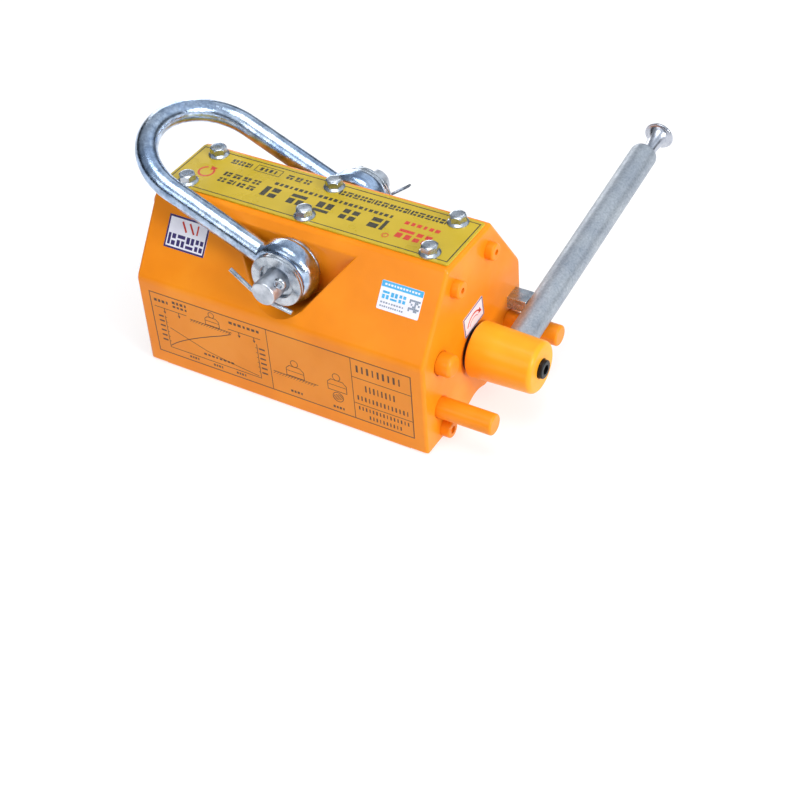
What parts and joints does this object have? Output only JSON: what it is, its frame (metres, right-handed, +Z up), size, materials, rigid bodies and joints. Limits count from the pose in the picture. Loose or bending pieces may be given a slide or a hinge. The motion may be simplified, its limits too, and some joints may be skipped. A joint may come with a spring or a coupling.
{
  "type": "lifting magnet",
  "caption": "Permanent lifting magnet with a hexagonal steel body, a lever handle that turns its magnet rotor, and a swinging bow shackle on stub pins.",
  "frame": {"origin": "centre of the working face, midway along the body and midway across, at the height of the pole faces", "axes": "+X along the body towards the handle, +Y across the body towards the side where the handle rests, +Z up towards the shackle"},
  "size_m": [0.3444, 0.3584, 0.1865],
  "materials": {
    "orange_paint": "gloss",
    "hub_paint": "satin",
    "bright_zinc": "satin",
    "galvanised_tube": "matt",
    "machined_steel": "machined",
    "dark_steel": "oiled",
    "black_oxide": "satin",
    "brass_spacer": "machined",
    "magnet_block": "matt",
    "yellow_plate": "satin",
    "label_paper": "satin"
  },
  "bodies": {
    "body": {"pole_front": "orange_paint", "pole_back": "orange_paint", "lower_spacer": "brass_spacer", "keeper_spacer": "machined_steel", "top_spacer": "machined_steel", "fixed_magnets": "magnet_block", "end_plate_drive": "orange_paint", "end_plate_rear": "orange_paint", "bush_drive": "brass_spacer", "bush_rear": "brass_spacer", "plate_screws_drive": "orange_paint", "plate_screws_rear": "orange_paint", "lock_ring": "machined_steel", "lock_ring_screws": "black_oxide", "stop_pins": "orange_paint", "rest_block": "bright_zinc", "rest_block_screw": "black_oxide", "name_plate": "yellow_plate", "name_plate_bolts": "bright_zinc", "shackle_pin_front": "bright_zinc", "shackle_pin_back": "bright_zinc", "washers_front": "bright_zinc", "washers_back": "bright_zinc", "split_pin_front": "bright_zinc", "split_pin_back": "bright_zinc", "sticker_left": "label_paper", "sticker_right": "label_paper", "sticker_end": "label_paper"},
    "shackle": {"shackle": "bright_zinc"},
    "rotor": {"rotor_pole_front": "dark_steel", "rotor_pole_back": "dark_steel", "rotor_magnet": "magnet_block", "rotor_spacers": "brass_spacer", "rotor_shaft_drive": "machined_steel", "rotor_shaft_rear": "machined_steel", "rotor_screws": "black_oxide", "hub": "hub_paint", "hub_key": "machined_steel", "hub_screw": "black_oxide", "handle_tube": "galvanised_tube", "tube_end_bush": "machined_steel"},
    "lock": {"pull_knob": "bright_zinc", "lock_rod": "machined_steel", "lock_spring": "dark_steel"}
  },
  "joints": [
    {"name": "shackle_swing", "type": "hinge", "parent": "body", "child": "shackle", "pos_m": [0, 0, 0.1145], "axis": [0, 1, 0], "range_deg": [0, 133]},
    {"name": "handle_turn", "type": "hinge", "parent": "body", "child": "rotor", "pos_m": [0, 0, 0.05], "axis": [1, 0, 0], "range_deg": [0, 168]},
    {"name": "knob_pull", "type": "slide", "parent": "rotor", "child": "lock", "axis": [0, 0.9877, 0.1564], "range_m": [0, 0.008], "stiffness_N_per_m": 1500, "springref_m": -0.004}
  ]
}
